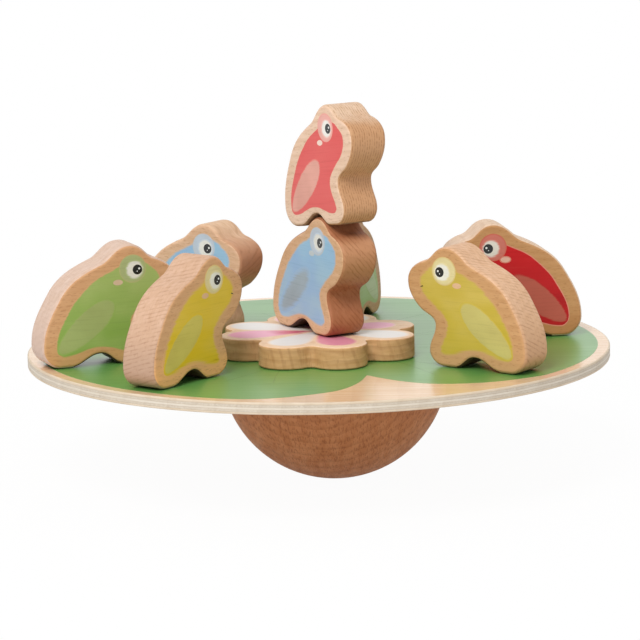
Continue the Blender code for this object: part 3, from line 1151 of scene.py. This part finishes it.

# Each frog's face, edge and ink tones are set one by one; part of how they differ is painted light and
# shade.
# On most frogs the edge turns to a darker colour along an axis: painted shade on concave and lower parts.
pad_seat = board_top + SEAT_GAP
frog(
    "frog_green_left", "green_left", standing(-94.3, -31.2, pad_seat, 22.1),
    face=(214, 166, 124),
    edge=(215, 188, 171),
    inks=GREEN,
    seed=8.1,
    lines=(ACROSS_BACK, 1.8 * mm, 0.1, 150),
    painted_shading=(tone(206, 178, 160), "Y", 30 * mm, 6 * mm),
    foot=(204, 158, 108),
    eye=(0.7, -0.2),
)
frog(
    "frog_green_back", "green_back", standing(13.7, 62.0, pad_seat, 253.7),
    face=(208, 164, 122),
    edge=(216, 178, 148),
    inks=PAINTED_LIGHT_GREEN,
    seed=8.8,
    lines=(ACROSS_CHEST, 1.7 * mm, 0.22, 150),
)
frog(
    "frog_yellow_left", "yellow_left", standing(-57.7, -74.4, pad_seat, 52.6),
    face=(214, 168, 126),
    edge=(208, 172, 146),
    inks=WARM_YELLOW,
    seed=9.3,
    lines=(RISING, 1.7 * mm, 0.36, 300),
    painted_shading=(tone(186, 153, 129), "Y", 32 * mm, 8 * mm),
    foot=(236, 178, 118),
    eye=(0.0, 0.4),
)
frog(
    "frog_yellow_right", "yellow_right", standing(68.9, -58.4, pad_seat, 143.2),
    face=(204, 158, 112),
    edge=(220, 180, 146),
    inks=YELLOW,
    seed=9.9,
    lines=(SLANTED, 1.7 * mm, 0.45, 320),
    painted_shading=(tone(198, 156, 118), "Y", 30 * mm, 6 * mm),
    eye=(0.5, 0.0),
)
frog(
    "frog_blue_back", "blue_back", standing(-55.0, 34.6, pad_seat, -36.1),
    face=(222, 183, 152),
    edge=(222, 188, 156),
    inks=BLUE,
    seed=10.4,
    lines=(SLANTED, 2.4 * mm, 0.3, 150),
    painted_shading=(tone(180, 124, 90), "X", 16 * mm, 38 * mm),
    foot=(236, 192, 152),
    eye=(-0.6, 0.0),
)
frog(
    "frog_red_right", "red_right", standing(87.8, 15.3, pad_seat, 188.9),
    face=(198, 149, 101),
    edge=(224, 198, 174),
    inks=RED,
    seed=10.9,
    lines=(ACROSS_BACK, 2.0 * mm, 0.2, 150),
    foot=(186, 130, 82),
    eye=(-0.5, -0.1),
)

# The stack: the blue frog stands on the flower, and the red one leans on its head, nose up.
# The top of the red one's solid tells how far it is lifted over the blue one's seat.
STACK_REACH = 12.8 * mm
STACK_LEAN = math.radians(7.7)
blue_seat = flower_high.z + SEAT_GAP
frog_points = in_metres(smooth_run(FROG_OUTLINE))
red_height = max(x * math.sin(STACK_LEAN) + y * math.cos(STACK_LEAN) for x, y in frog_points)
stack_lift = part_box("frog_red_top")[1].z - blue_seat - red_height
blue_place = standing(0.8, -16.9, blue_seat, -58.7)
lean = Matrix.Rotation(STACK_LEAN, 4, "Z")
red_place = blue_place @ Matrix.Translation((STACK_REACH, stack_lift, 0)) @ lean
frog(
    "frog_blue_stack", "blue_stack", blue_place,
    face=(218, 176, 140),
    edge=(172, 112, 78),
    inks=BLUE,
    seed=11.4,
    lines=(SLANTED_BACK, 1.7 * mm, 0.42, 200),
    painted_shading=(tone(188, 136, 98), "X", 24 * mm, 34 * mm),
    eye=(-1.3, 0.0),
)
frog(
    "frog_red_top", "red_top", red_place,
    face=(232, 200, 176),
    edge=(221, 191, 164),
    inks=PALE_RED,
    seed=11.9,
    lines=(ALONG_OUTLINE, 1.15 * mm, 0.72, 900),
    painted_shading=(tone(194, 148, 108), "Y", 47 * mm, 39 * mm),
    arch_shade=(0.8, 0.72, 0.64),
    eye=(-0.6, 0.5),
)


# Floor: a wide pale sheet under the dome that takes its soft shadow.
# It whitens with distance, so that it runs into the white of the room.
FLOOR_HALF = 4.0
FLOOR_NEAR = 0.16
FLOOR_FAR = 0.42
FLOOR_WHITE = 0.96
FLOOR_GLOW = 0.3
form = bmesh.new()
bmesh.ops.create_grid(form, x_segments=8, y_segments=8, size=FLOOR_HALF)
floor_material, tree, skin = new_finish("pale_floor")
skin.inputs["Base Color"].default_value = (0.86, 0.86, 0.86, 1.0)
skin.inputs["Roughness"].default_value = 0.7
place = object_place(tree)
away = add(tree, "ShaderNodeVectorMath", {"operation": "LENGTH"}, Vector=place).outputs["Value"]
seen = add(tree, "ShaderNodeLightPath").outputs["Is Camera Ray"]
white = add(tree, "ShaderNodeEmission", Color=(1, 1, 1, 1), Strength=1.0)
whiten = reckon(tree, "MULTIPLY", seen, between(tree, away, FLOOR_NEAR, FLOOR_FAR, FLOOR_WHITE, 1.0))
whiten = reckon(tree, "MAXIMUM", whiten, FLOOR_GLOW)
mixed = tree.nodes.new("ShaderNodeMixShader")
join(tree, whiten, mixed.inputs[0])
join(tree, skin.outputs[0], mixed.inputs[1])
join(tree, white.outputs[0], mixed.inputs[2])
join(tree, mixed.outputs[0], tree.nodes["Material Output"].inputs["Surface"])
floor = piece("floor", mesh_of("floor", form), [floor_material], smooth=False)


# Light: a room that is brightest overhead, white where it is looked at or mirrored, and a large
# soft key lamp above the camera's left shoulder.
ROOM_LEVEL = 0.38
ROOM_OVERHEAD = 0.9
KEY_WATTS = 34.0
KEY_SIZE = 1.0
KEY_PLACE = Vector((-0.6, -1.6, 1.75))
BOARD_MIDDLE = Vector((0, 0, board_top))
world = bpy.data.worlds.new("white_studio")
world.use_nodes = True
tree = world.node_tree
room = tree.nodes["Background"]
room.inputs["Color"].default_value = (1, 1, 1, 1)
way = add(tree, "ShaderNodeTexCoord").outputs["Generated"]
rise = add(tree, "ShaderNodeSeparateXYZ", Vector=way).outputs["Z"]
join(tree, between(tree, rise, 0.0, 1.0, ROOM_LEVEL, ROOM_OVERHEAD), room.inputs["Strength"])
backdrop = add(tree, "ShaderNodeBackground", Color=(1, 1, 1, 1), Strength=1.0)
paths = add(tree, "ShaderNodeLightPath").outputs
looked_at = reckon(tree, "MAXIMUM", paths["Is Camera Ray"], paths["Is Glossy Ray"])
looked_at = reckon(tree, "MAXIMUM", looked_at, paths["Is Transmission Ray"])
mixed = tree.nodes.new("ShaderNodeMixShader")
join(tree, looked_at, mixed.inputs[0])
join(tree, room.outputs[0], mixed.inputs[1])
join(tree, backdrop.outputs[0], mixed.inputs[2])
join(tree, mixed.outputs[0], tree.nodes["World Output"].inputs["Surface"])
scene.world = world


def soft_lamp(name, place, watts, size):
    """A round area lamp that faces the middle of the board."""
    light = bpy.data.lights.new(name, "AREA")
    light.shape = "DISK"
    light.size = size
    light.energy = watts
    lamp = bpy.data.objects.new(name, light)
    scene.collection.objects.link(lamp)
    lamp.location = place
    lamp.rotation_euler = (BOARD_MIDDLE - place).to_track_quat("-Z", "Y").to_euler()


soft_lamp("key_lamp", KEY_PLACE, KEY_WATTS, KEY_SIZE)


# Camera: a long lens from the front, a little above the board. The place where the board's
# middle appears, in pixels of a 640-pixel frame, gives the aim.
FRAME_PIXELS = 640
FOCUS_PIXELS = 3484.2
VIEW_DISTANCE = 1.5
VIEW_RISE = 0.1837
VIEW_ROLL = -0.0183
MIDDLE_X = 318.69
MIDDLE_Y = 344.96
ahead = Vector((0, math.cos(VIEW_RISE), -math.sin(VIEW_RISE)))
right = Vector((1, 0, 0))
up = right.cross(ahead)
rolled_right = math.cos(VIEW_ROLL) * right + math.sin(VIEW_ROLL) * up
rolled_up = math.cos(VIEW_ROLL) * up - math.sin(VIEW_ROLL) * right
aim = ahead + (FRAME_PIXELS / 2 - MIDDLE_X) / FOCUS_PIXELS * rolled_right
aim = (aim + (MIDDLE_Y - FRAME_PIXELS / 2) / FOCUS_PIXELS * rolled_up).normalized()
side = (rolled_right - rolled_right.dot(aim) * aim).normalized()
over = side.cross(aim)
camera_data = bpy.data.cameras.new("camera")
camera_data.sensor_width = 36.0
camera_data.lens = camera_data.sensor_width * FOCUS_PIXELS / FRAME_PIXELS
camera = bpy.data.objects.new("camera", camera_data)
scene.collection.objects.link(camera)
turn = Matrix((side, over, -aim)).transposed().to_4x4()
camera.matrix_world = Matrix.Translation(BOARD_MIDDLE - VIEW_DISTANCE * ahead) @ turn
scene.camera = camera
